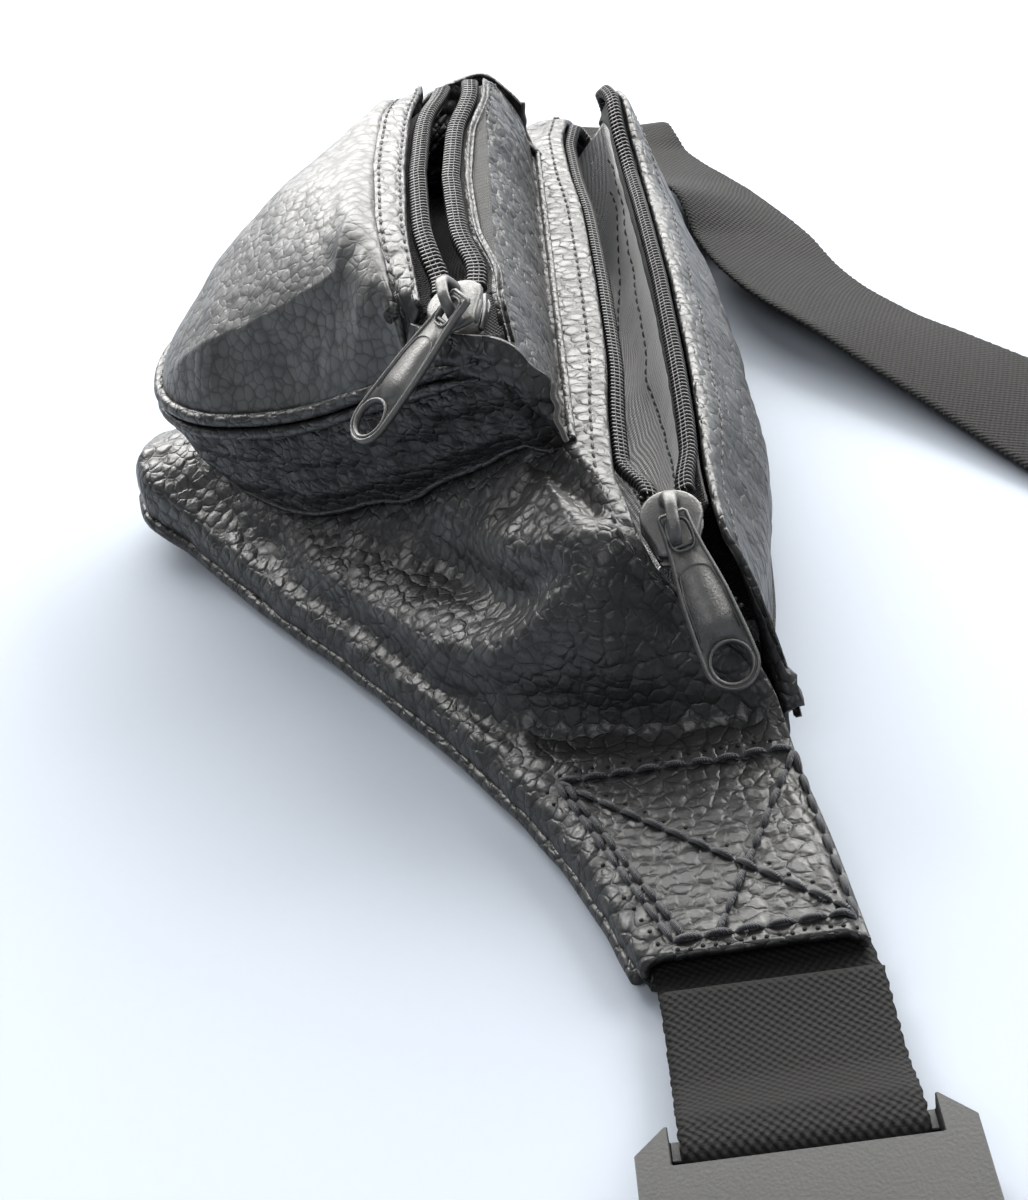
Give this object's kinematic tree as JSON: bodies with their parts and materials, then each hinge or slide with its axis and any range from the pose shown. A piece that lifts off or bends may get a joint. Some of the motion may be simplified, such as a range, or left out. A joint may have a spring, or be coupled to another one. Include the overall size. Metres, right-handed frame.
{
  "type": "waist pack",
  "caption": "Leather waist pack with a zipped main compartment, a zipped front pocket, a webbing belt and a side-squeeze clip buckle.",
  "frame": {"origin": "middle of the back panel's flat underside, which rests on the ground", "axes": "+X along the belt to the end where the zips close, +Y up when the bag is worn, +Z out of the front"},
  "size_m": [0.5096, 0.2974, 0.0882],
  "materials": {
    "back_panel": "padded black cloth",
    "bottom_seam_welt": "pebbled black leather, semi-matt",
    "buckle_clip": "black moulded acetal",
    "buckle_socket": "black moulded acetal",
    "clip_centre_guide": "black moulded acetal",
    "clip_prong_left": "black moulded acetal",
    "clip_prong_right": "black moulded acetal",
    "far_webbing": "ribbed polyamide webbing",
    "main_coil_back": "nylon coil",
    "main_coil_front": "nylon coil",
    "main_front_panel": "pebbled black leather, semi-matt",
    "main_lining": "shiny charcoal lining cloth",
    "main_pull_tab": "dark gunmetal plating, satin",
    "main_slider": "dark gunmetal plating, satin",
    "main_slider_crown": "dark gunmetal plating, satin",
    "main_tape_back": "woven zip tape",
    "main_tape_front": "woven zip tape",
    "main_zip_closed_end": "nylon coil",
    "near_webbing": "ribbed polyamide webbing",
    "pocket_coil_back": "nylon coil",
    "pocket_coil_front": "nylon coil",
    "pocket_corner_far": "pebbled black leather, semi-matt",
    "pocket_corner_near": "pebbled black leather, semi-matt",
    "pocket_front_panel": "pebbled black leather, semi-matt",
    "pocket_lining": "shiny charcoal lining cloth",
    "pocket_piping": "pebbled black leather, semi-matt",
    "pocket_pull_tab": "dark gunmetal plating, satin",
    "pocket_slider": "dark gunmetal plating, satin",
    "pocket_slider_crown": "dark gunmetal plating, satin",
    "pocket_tape_back": "woven zip tape",
    "pocket_tape_front": "woven zip tape",
    "pocket_top_gusset": "pebbled black leather, semi-matt",
    "pocket_wall": "pebbled black leather, semi-matt",
    "pocket_zip_strip": "pebbled black leather, semi-matt",
    "strap_keeper": "black moulded acetal",
    "top_gusset_back": "pebbled black leather, semi-matt"
  },
  "bodies": {
    "bag": {"back_panel": "back_panel", "bottom_seam_welt": "bottom_seam_welt", "buckle_clip": "buckle_clip", "buckle_socket": "buckle_socket", "clip_centre_guide": "clip_centre_guide", "far_webbing": "far_webbing", "main_coil_back": "main_coil_back", "main_coil_front": "main_coil_front", "main_front_panel": "main_front_panel", "main_lining": "main_lining", "main_tape_back": "main_tape_back", "main_tape_front": "main_tape_front", "main_zip_closed_end": "main_zip_closed_end", "near_webbing": "near_webbing", "pocket_coil_back": "pocket_coil_back", "pocket_coil_front": "pocket_coil_front", "pocket_corner_far": "pocket_corner_far", "pocket_corner_near": "pocket_corner_near", "pocket_front_panel": "pocket_front_panel", "pocket_lining": "pocket_lining", "pocket_piping": "pocket_piping", "pocket_tape_back": "pocket_tape_back", "pocket_tape_front": "pocket_tape_front", "pocket_top_gusset": "pocket_top_gusset", "pocket_wall": "pocket_wall", "pocket_zip_strip": "pocket_zip_strip", "top_gusset_back": "top_gusset_back"},
    "main_slider": {"main_slider": "main_slider", "main_slider_crown": "main_slider_crown"},
    "main_pull": {"main_pull_tab": "main_pull_tab"},
    "pocket_slider": {"pocket_slider": "pocket_slider", "pocket_slider_crown": "pocket_slider_crown"},
    "pocket_pull": {"pocket_pull_tab": "pocket_pull_tab"},
    "clip_left": {"clip_prong_left": "clip_prong_left"},
    "clip_right": {"clip_prong_right": "clip_prong_right"},
    "keeper": {"strap_keeper": "strap_keeper"}
  },
  "joints": [
    {"name": "main_zip_travel", "type": "slide", "parent": "bag", "child": "main_slider", "axis": [-1, 0, 0], "range_m": [0, 0.2], "deforming": ["main_coil_front", "main_coil_back", "main_tape_front", "main_tape_back", "main_lining"]},
    {"name": "main_pull_swing", "type": "hinge", "parent": "main_slider", "child": "main_pull", "pos_m": [0.11542, 0.0388, 0.05256], "axis": [0.2163, -0.9683, -0.1249], "range_deg": [0, 170]},
    {"name": "pocket_zip_travel", "type": "slide", "parent": "bag", "child": "pocket_slider", "axis": [-1, 0, 0], "range_m": [0, 0.122], "deforming": ["pocket_coil_front", "pocket_coil_back", "pocket_tape_front", "pocket_tape_back", "pocket_front_panel", "pocket_zip_strip", "pocket_corner_near"]},
    {"name": "pocket_pull_swing", "type": "hinge", "parent": "pocket_slider", "child": "pocket_pull", "pos_m": [0.07589, 0.00432, 0.08534], "axis": [-0.8861, -0.4594, 0.0614], "range_deg": [0, 20]},
    {"name": "clip_left_squeeze", "type": "hinge", "parent": "bag", "child": "clip_left", "pos_m": [0.2715, 0.2005, 0.007], "axis": [0, 0, -1], "range_deg": [0, 8], "stiffness_Nm_per_rad": 1.2},
    {"name": "clip_right_squeeze", "type": "hinge", "parent": "bag", "child": "clip_right", "pos_m": [0.2715, 0.1695, 0.007], "axis": [0, 0, 1], "range_deg": [0, 8], "stiffness_Nm_per_rad": 1.2},
    {"name": "keeper_slide", "type": "slide", "parent": "bag", "child": "keeper", "axis": [0.9771, 0.213, 0], "range_m": [-0.02, 0.02]}
  ],
  "couplings": [
    {"joint": "clip_right_squeeze", "follows": "clip_left_squeeze", "ratio": 1}
  ]
}
